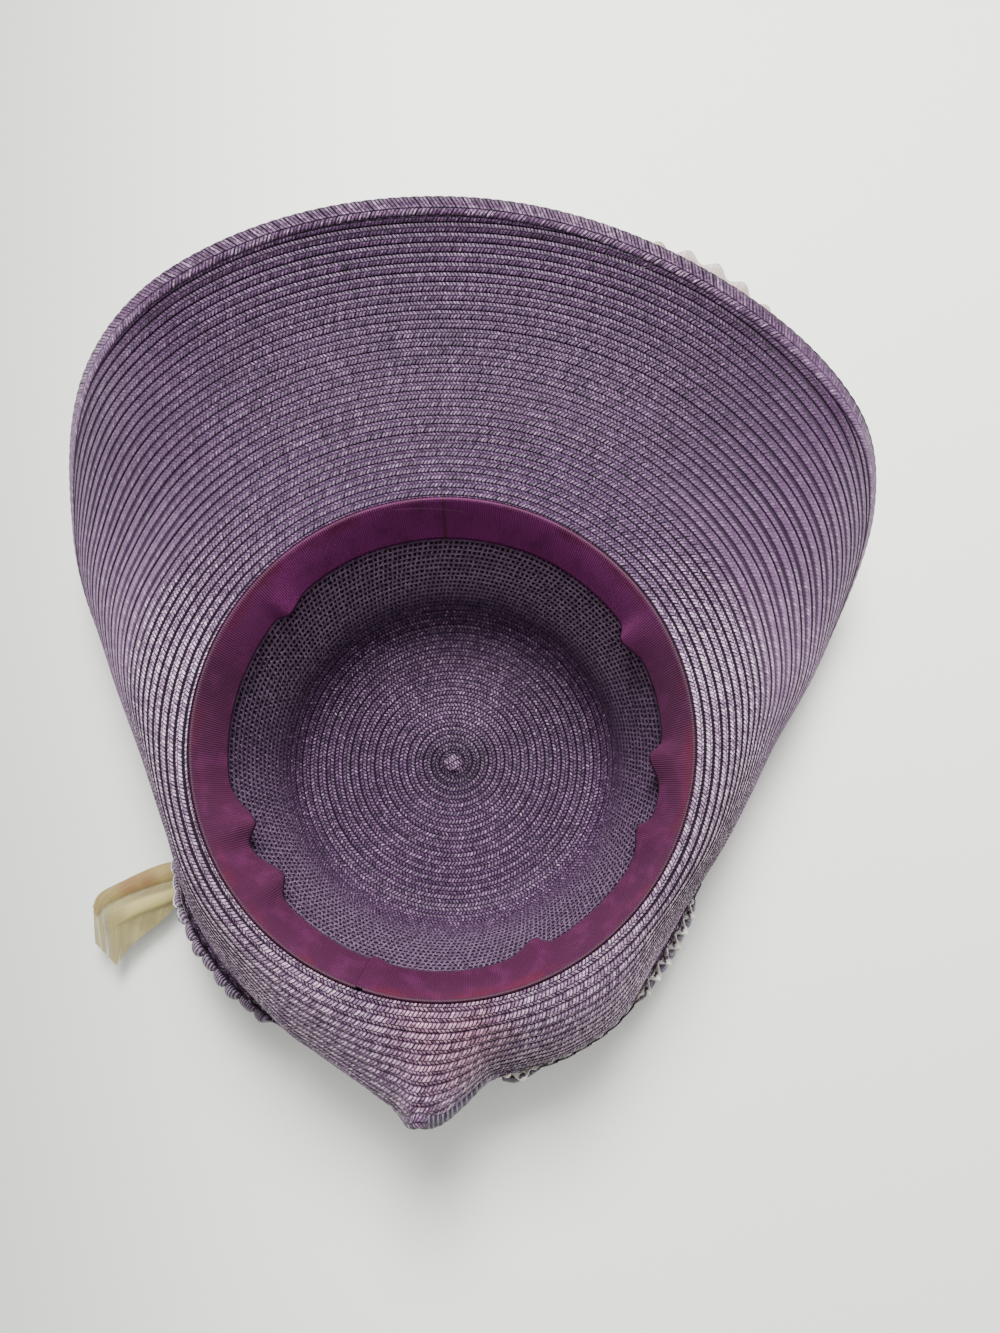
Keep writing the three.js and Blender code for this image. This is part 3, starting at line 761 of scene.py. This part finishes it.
def ribbon_look(name, bright, worn_and_shaded):
    """Satin ribbon between two colours."""
    look = Look(name)
    along, across, _ = look.pattern()
    rib = look.math("SINE", look.times(along, 2 * math.pi / 0.7))
    # Patches between the two colours: wear on the white ribbon, painted shade on the front and left runs
    wear_and_shade_mask = look.noise(look.place(), 90.0, 4.0)
    shade = look.mix(look.step(wear_and_shade_mask, 0.35, 0.75), colour(*bright), colour(*worn_and_shaded))
    shade = look.mix(look.times_plus(rib, 0.1, 0.1), shade, colour(*(0.75 * c for c in worn_and_shaded)))
    # Painted shade along both edges of the ribbon
    away = look.math("ABSOLUTE", look.math("SUBTRACT", across, 0.5))
    shade = look.mix(look.step(away, 0.38, 0.5, 0.0, 0.7), shade, colour(*(0.6 * c for c in worn_and_shaded)))
    look.set(Base_Color=shade, Roughness=0.6, Normal=look.bump(rib, 0.1))
    look.set(Specular_IOR_Level=0.3)
    return look


# Runs of the edge trim: place, first and last azimuth, face it lies on, and reach past the edge
TRIM_RUNS = (("front", 30, 150, 1, -2.0), ("left", 190, 240, -1, 1.0), ("right", 280, 340, -1, 1.0))
TRIM_WAVE = 360 / 108
PEEK_AZIMUTH, PEEK_HALF_WIDTH, PEEK_REACH = 60.0, 9.0, 6.0
# Where the trim stands out from the edge: the middle and half width of each stretch, in degrees, and the
# degrees over which it fades
TRIM_PROUD, PROUD_FADE = ((205.0, 30.0), (283.3, 1.0), (319.0, 9.0)), 3.0
# The puffs of the ribbon at the right, and every ribbon's gap from the straw and ripple
RIBBON_PUFF, PUFF_ROUND = 3.2, 1.2
RIBBON_CLEARANCE, RIBBON_RIPPLE = 0.1, 0.12
# The scallops' width between lobes, what a lobe adds on the inner side, and how far it twists
SCALLOP_REACH, SCALLOP_SWELL, SCALLOP_TWIST = 3.2, 0.9, 0.35
# The power that makes a lobe full, and by how much and how soon the proud lobes differ
LOBE_ROUND, LOBE_UNEVEN, LOBE_BEAT = 0.55, 0.2, 2.4
# Shares of the scallops' thickness: between lobes and added by a lobe, and what being proud adds to each
CLOSE_SHARE, CLOSE_LOBE = 0.4, 0.1
PROUD_SHARE, PROUD_LOBE = 0.55, 0.55
# How proud the scallops at the right are, as a share
RIGHT_SHARE = 0.6


def closed_strip(brim, inner, outer, base, side, thickness, sag, phase):
    """A rounded strip between two distances along the straw, as points, quads, and pattern."""
    across = np.array([0.0, 0.12, 0.32, 0.5, 0.68, 0.88, 1.0])[:, None]
    along = inner + (outer - inner) * across
    half = thickness * np.sqrt(np.clip(1 - (2 * across - 1) ** 2, 0, 1)) * 0.5
    middle = base + 0.5 * thickness + sag
    top = brim.point(along, side * (middle + half))
    bottom = brim.point(along, side * (middle - half))
    columns = along.shape[1]
    loop = np.concatenate([top, bottom[-2:0:-1]])
    points = loop.reshape(-1, 3)
    ring = np.concatenate([loop, loop[:1]])
    count = len(loop)
    quads = grid_faces(len(ring), columns) % (count * columns)
    radius = np.hypot(top[0, :, 0], top[0, :, 1])
    length = radius * brim.azimuth
    shares = np.concatenate([across, across[-2:0:-1]])
    return points, quads, triples(length, shares, phase)


def proud(azimuths):
    """1 where the trim stands out from the edge, 0 where it lies close behind it."""
    share = np.zeros_like(azimuths)
    for middle, half_width in TRIM_PROUD:
        share = np.maximum(share, 1 - smooth((np.abs(azimuths - middle) - half_width) / PROUD_FADE))
    return share


def trim_ribbon(run, look):
    """A wavy ribbon, which puffs out between the lobes of the trim at the right."""
    name, start, stop, side, reach = run
    azimuths = np.linspace(start, stop, RIBBON_STEPS * (stop - start) + 1)
    brim = Brim(azimuths)
    phase = (azimuths - start) / TRIM_WAVE
    wave = np.cos(2 * math.pi * phase)
    peek = PEEK_REACH * np.exp(-((azimuths - PEEK_AZIMUTH) / PEEK_HALF_WIDTH) ** 2)
    outer = brim.width + reach + peek - ZIGZAG + ZIGZAG * wave
    face = STRAW_WALL if side > 0 else RIM_RAISE
    sag = RIBBON_RIPPLE * np.sin(math.pi * (azimuths - start))
    puff = RIBBON_PUFF * proud(azimuths) * np.abs(np.cos(math.pi * phase)) ** PUFF_ROUND
    thickness = RIBBON_THICKNESS + (puff if name == "right" else 0.0)
    base = face + RIBBON_CLEARANCE
    made = closed_strip(brim, outer - RIBBON_WIDTH, outer, base, side, thickness, sag, phase)
    add_piece(f"{name}_ribbon_trim", made[0], made[1], look, [f"{name}_ribbon"], made[2])


def trim_scallops(run, look):
    """A braid whose outer edge swells into one lobe for each wave of the trim."""
    name, start, stop, side, reach = run
    azimuths = np.linspace(start, stop, SCALLOP_STEPS * (stop - start) + 1)
    brim = Brim(azimuths)
    phase = (azimuths - start) / TRIM_WAVE
    within = np.mod(phase, 1.0)
    lobe = np.abs(np.sin(math.pi * phase)) ** LOBE_ROUND
    outer = brim.width + reach - 2 * ZIGZAG + 2 * ZIGZAG * lobe
    inner = brim.width + reach - 2 * ZIGZAG - SCALLOP_REACH - SCALLOP_SWELL * lobe
    face = STRAW_WALL if side > 0 else RIM_RAISE
    base = face + RIBBON_THICKNESS
    sag = SCALLOP_TWIST * (within - 0.5)
    out = proud(azimuths) * (RIGHT_SHARE if name == "right" else 1.0)
    uneven = 1 + LOBE_UNEVEN * np.sin(LOBE_BEAT * phase)
    share = CLOSE_SHARE + CLOSE_LOBE * lobe + out * uneven * (PROUD_SHARE + PROUD_LOBE * lobe)
    thickness = SCALLOP_THICKNESS * share
    made = closed_strip(brim, inner, outer, base, side, thickness, sag, phase)
    nodes = [f"{name}_scallops"]
    add_piece(f"{name}_scallop_trim", made[0], made[1], look, nodes, made[2])


def build_straw():
    brim_straw = brim_look()
    crown_straw = crown_look()
    brim = Brim(np.linspace(0, 360, BRIM_COLUMNS))
    high = brim.width - RIM_WIDTH + ROW_UNDER_RIM
    made = braid_rows(brim, 0.0, 0 * high, high, 1, UNDERSIDE_SEED, front=FRONT_RELIEF)
    points, faces, pattern, inset = made
    add_piece("brim_underside", points, faces, brim_straw, ["straw_brim"], pattern, inset)
    brim = Brim(np.linspace(0, 360, PLAIN_COLUMNS))
    high = brim.width - RIM_WIDTH + ROW_UNDER_RIM
    points, faces, pattern, inset = braid_rows(brim, 0.0, 0 * high, high, -1, UPPER_SEED)
    add_piece("brim_upper", points, faces[:, ::-1], brim_straw, ["straw_brim"], pattern, inset)
    crown = Crown(np.linspace(0, 360, PLAIN_COLUMNS))
    low, high = np.full(PLAIN_COLUMNS, BUTTON_RADIUS), np.full(PLAIN_COLUMNS, CROWN_LENGTH)
    points, faces, pattern, _ = braid_rows(crown, BUTTON_RADIUS, low, high, 1, INSIDE_SEED, CROWN_RELIEF)
    add_piece("crown_inside", points, faces, crown_straw, ["straw_crown"], pattern)
    sunk = ROW_PROFILE[:, 1].max()
    points, faces, pattern, _ = braid_rows(crown, BUTTON_RADIUS, 0 * low, high, -1, OUTSIDE_SEED, lower=sunk)
    add_piece("crown_outside", points, faces[:, ::-1], crown_straw, ["straw_crown"], pattern)
    points, faces, pattern = rim_points(RIM_COLUMNS)
    add_piece("rim_band", points, faces, rim_look(), ["rim_braid"], pattern)
    # The three runs are one white ribbon: the front one is painted darker and pinker as painted shade, and
    # the left one, which lies behind the brim, is painted dark as painted shade
    white = ribbon_look("white_ribbon", (232, 229, 222), (202, 194, 184))
    front_white_shaded = ribbon_look("front_white_painted_shade", (216, 204, 196), (170, 152, 140))
    left_white_shaded = ribbon_look("left_white_painted_shade", (52, 38, 56), (30, 19, 34))
    scallop = scallop_look()
    for run, ribbon in zip(TRIM_RUNS, (front_white_shaded, left_white_shaded, white)):
        trim_ribbon(run, ribbon)
        trim_scallops(run, scallop)


def build_button():
    """The plaited start of the spiral, a small oval mound in the middle of the crown."""
    look = straw_look(
        "button_straw", cell=1.3, lean=0.8, fold=0.5,
        slash=(0.6, 0.6), contrast=(1.2, 1.2), light=(0.0, 0.0), lines=(0.1, 0.1),
    )
    middle = look.near((0, 0, STRAW_WALL), 5.8)
    look.over(look.times_plus(middle, -0.75, 0.75), colour(*GAP_SHADE))
    rings, segments = 9, 48
    share = np.linspace(0.02, 1, rings)[:, None]
    angle = np.linspace(0, 2 * math.pi, segments, endpoint=False)
    x = (BUTTON_RADIUS + BUTTON_OVAL) * share * np.cos(angle)
    y = (BUTTON_RADIUS - BUTTON_OVAL) * share * np.sin(angle)
    z = STRAW_WALL - BUTTON_SUNK + BUTTON_RISE * np.sqrt(np.clip(1 - share ** 4, 0, 1))
    points = triples(x, y, z)
    # Its pattern runs slantwise, as if cut out of the middle of a row
    along = x * math.cos(BUTTON_TURN) + y * math.sin(BUTTON_TURN)
    across = np.mod((y * math.cos(BUTTON_TURN) - x * math.sin(BUTTON_TURN)) / BUTTON_ROW + 0.5, 1.0)
    pattern = triples(along + 40, 0.1 + 0.65 * across, 3.0)
    add_piece("crown_button", points, grid_faces(rings, segments, closed=True), look, (), pattern)


def build_sweatband():
    made = sweatband_points(BAND_COLUMNS, BAND_ROWS)
    look = sweatband_look()
    band = add_piece("sweatband_ribbon", made[0], made[1], look, ["sweatband"], made[2])


# Vanes of the plume: points along one edge and along the other, from the fork of the quill to the tip
PLUME_TOP = ((-89, -40), (-104, -41), (-117, -43), (-127, -45.5), (-140, -51.5), (-149, -56.5), (-151.5, -62))
PLUME_VANES = (
    (
        (*PLUME_TOP, (-149.5, -77)),
        ((-89, -40), (-100, -48), (-110, -56), (-117, -62),
         (-123, -68.5), (-130, -74), (-135, -79), (-140, -86)),
    ),
    (
        PLUME_TOP,
        ((-89, -40), (-101, -46), (-113, -51), (-126, -55), (-137, -58.5), (-145, -62.5), (-149.5, -67)),
    ),
    (
        ((-89, -40), (-100, -46), (-110, -50.5), (-120, -54), (-130, -57), (-138, -60.5), (-146, -66)),
        ((-89, -40), (-100, -48), (-110, -56), (-120, -62), (-130, -66), (-137, -69), (-145, -72)),
    ),
)
PLUME_LIFTS = (-0.5, 0.2, 0.9)
VANE_STEPS, VANE_ROWS = 49, 15


def plume_look():
    """Limp barbs: a thin vane that parts at its tip, a browned lobe over it, and a pale folded edge."""
    look = Look("plume_barbs")
    along, across, vane = look.pattern()
    place = look.place()
    slant = look.times_plus(across, 3.0, look.times(along, 11.0))
    barb = look.noise(look.vector(slant, vane), 1.0, 3.0)
    soft = look.step(look.noise(place, 90.0, 3.0), 0.35, 0.65)
    thin = look.step(vane, 0.4, 0.6, 1.0, 0.0)
    folded = look.step(vane, 1.4, 1.6)
    shade = look.mix(soft, colour(104, 86, 42), colour(126, 108, 58))
    shade = look.mix(thin, shade, look.mix(soft, colour(102, 94, 54), colour(126, 116, 72)))
    shade = look.mix(folded, shade, colour(152, 142, 88))
    shade = look.mix(look.step(barb, 0.3, 0.75, 0.0, 0.4), shade, colour(148, 136, 86))
    marks = look.math("MAXIMUM", look.near((-137, -53, 14), 8), look.near((-129, -51, 14), 7))
    marks = look.times(marks, look.step(barb, 0.3, 0.6, 0.3, 0.9))
    shade = look.mix(marks, shade, colour(104, 68, 28))
    rim = look.times(look.step(across, 0.9, 1.0, 0.0, 0.6), look.math("SUBTRACT", 1.0, folded))
    shade = look.mix(rim, shade, colour(104, 82, 44))
    sheer = look.times(thin, look.step(barb, 0.35, 0.65, 0.15, 0.0))
    parted = look.times(thin, look.step(along, 0.75, 1.0))
    parted = look.times(parted, look.step(barb, 0.42, 0.52, 0.95, 0.0))
    edge = look.times(look.step(across, -1.0, -0.3, 0.9, 0.0), look.math("SUBTRACT", 1.0, thin))
    top = look.times(look.step(across, 0.5, 1.0, 0.0, 0.9), folded)
    edge = look.math("MAXIMUM", edge, top)
    end = look.times(look.step(along, 0.75, 1.0, 0.0, 0.95), folded)
    edge = look.math("MAXIMUM", edge, end)
    clear = look.math("MAXIMUM", look.math("MAXIMUM", sheer, parted), edge)
    look.set(Base_Color=shade, Roughness=0.65, Normal=look.bump(barb, 0.2))
    look.set(Alpha=look.math("SUBTRACT", 0.97, clear))
    return look


def edge_curve(corners, steps):
    """A smooth curve through the corners of a vane's edge."""
    corners = np.array(corners, float)
    before = np.concatenate([2 * corners[:1] - corners[1:2], corners, 2 * corners[-1:] - corners[-2:-1]])
    place = np.linspace(0, len(corners) - 1, steps)
    i = np.minimum(place.astype(int), len(corners) - 2)
    t = (place - i)[:, None]
    a, b, c, d = (before[i + k] for k in range(4))
    bend, twist = 2 * a - 5 * b + 4 * c - d, 3 * b - a - 3 * c + d
    return b + 0.5 * ((c - a) * t + bend * t ** 2 + twist * t ** 3)


def build_plume():
    azimuth = math.radians(PLUME_AZIMUTH)
    outward = np.array([math.cos(azimuth), math.sin(azimuth)])
    wall = wall_radius(OPENING_HEIGHT - PLUME_HEIGHT) + STRAW_WALL / math.cos(WALL_TAPER)
    t = np.linspace(0, 1, VANE_STEPS)
    across = np.linspace(-1, 1, VANE_ROWS)[:, None]
    points, faces, pattern = [], [], []
    for number, (edges, lift) in enumerate(zip(PLUME_VANES, PLUME_LIFTS)):
        one, other = (edge_curve(edge, VANE_STEPS) for edge in edges)
        flat = 0.5 * (one + other) + 0.5 * across[..., None] * (one - other)
        z = PLUME_HEIGHT + lift + VANE_CURL * np.sin(math.pi * t) * (0.3 - across ** 2)
        points.append(np.concatenate([flat, z[..., None]], axis=-1).reshape(-1, 3))
        pattern.append(triples(t, across, number))
        faces.append(grid_faces(VANE_ROWS, VANE_STEPS) + number * VANE_ROWS * VANE_STEPS)
    # The bare quill from the crown's wall to the fork
    root, fork = outward * (wall + QUILL_GAP), outward * (wall + QUILL_GAP + QUILL_LENGTH)
    turn = np.linspace(0, 2 * math.pi, QUILL_SIDES, endpoint=False)[:, None]
    share = np.linspace(0, 1, QUILL_RINGS)
    thinner = 1 - QUILL_TAPER * share
    sideways = np.array([-outward[1], outward[0]])
    centre = root + share[:, None] * (fork - root)
    flat = centre + QUILL_HALF_WIDTH * np.cos(turn)[..., None] * sideways * thinner[:, None]
    z = PLUME_HEIGHT + QUILL_HALF_THICKNESS * np.sin(turn) * thinner
    quill = np.concatenate([flat, z[..., None]], axis=-1)
    ring = grid_faces(QUILL_SIDES + 1, QUILL_RINGS) % (QUILL_SIDES * QUILL_RINGS)
    first = sum(len(part) for part in points)
    points.append(quill.reshape(-1, 3))
    pattern.append(triples(0.2, 0 * z, 2))
    faces.append(ring + first)
    made = [np.concatenate(part) for part in (points, faces, pattern)]
    add_piece("plume_vanes", made[0], made[1], plume_look(), ["plume"], made[2])


# Half the floor's side and the camera's place in metres, and the camera's lens and sensor in millimetres
FLOOR_HALF = 3.0
CAMERA_PLACE = (0.0206, -0.042, 0.4485)
CAMERA_TILT = math.radians(10.85)
CAMERA_LENS, CAMERA_SENSOR = 27.03, 36.0
# Lights: name, place, aim, width and height, watts and tint
CREAM_LIGHT, WHITE_LIGHT = (1.0, 0.99, 0.97), (1.0, 0.99, 1.0)
LIGHTS = (
    ("overhead", (0.0, 0.1, 1.4), (0, 0, 0.05), (0.8, 0.8), 10, CREAM_LIGHT),
    ("front", (0.0, 0.72, 1.2), (0, 0, 0.05), (0.5, 0.6), 56, CREAM_LIGHT),
    ("left", (-1.1, 0.3, 0.2), (0, 0, 0.06), (1.0, 0.3), 14, WHITE_LIGHT),
    ("right", (1.1, 0.3, 0.2), (0, 0, 0.06), (1.0, 0.3), 14, WHITE_LIGHT),
)
WORLD_TINT, WORLD_LIGHT = (0.94, 0.95, 0.94, 1.0), 0.1


def build_stage():
    mesh = bpy.data.meshes.new("floor")
    low, high = -FLOOR_HALF, FLOOR_HALF
    corners = [(low, low, 0), (high, low, 0), (high, high, 0), (low, high, 0)]
    mesh.from_pydata(corners, [], [(0, 1, 2, 3)])
    floor = bpy.data.objects.new("floor", mesh)
    bpy.context.scene.collection.objects.link(floor)
    look = Look("floor_pale")
    x, _, _ = look.parts(look.place())
    cloud = look.noise(look.place(), 3.0, 2.0)
    shade = look.mix(cloud, colour(228, 229, 224), colour(234, 235, 230))
    # Painted shade: the floor darkens towards the left
    shade = look.mix(look.step(x, -0.3, 0.0, 0.8, 0.0), shade, colour(148, 154, 148))
    look.set(Base_Color=shade, Roughness=0.6)
    mesh.materials.append(look.material)


def add_light(name, place, aim, size, watts, tint):
    data = bpy.data.lights.new(name, "AREA")
    data.shape = "RECTANGLE"
    data.size, data.size_y = size
    data.energy = watts
    data.color = tint
    light = bpy.data.objects.new(name, data)
    bpy.context.scene.collection.objects.link(light)
    light.location = place
    direction = [a - p for a, p in zip(aim, place)]
    light.rotation_mode = "QUATERNION"
    light.rotation_quaternion = Vector(direction).to_track_quat("-Z", "Y")


def build_lights():
    for light in LIGHTS:
        add_light(*light)
    world = bpy.data.worlds.new("studio")
    world.use_nodes = True
    background = world.node_tree.nodes["Background"]
    background.inputs["Color"].default_value = WORLD_TINT
    background.inputs["Strength"].default_value = WORLD_LIGHT
    bpy.context.scene.world = world


def build_camera():
    data = bpy.data.cameras.new("camera")
    data.sensor_width = CAMERA_SENSOR
    data.lens = CAMERA_LENS
    data.clip_start = 0.01
    camera = bpy.data.objects.new("camera", data)
    bpy.context.scene.collection.objects.link(camera)
    camera.location = CAMERA_PLACE
    camera.rotation_euler = (CAMERA_TILT, 0.0, 0.0)
    bpy.context.scene.camera = camera


build_camera()
build_lights()
build_stage()
build_straw()
build_button()
build_sweatband()
build_plume()
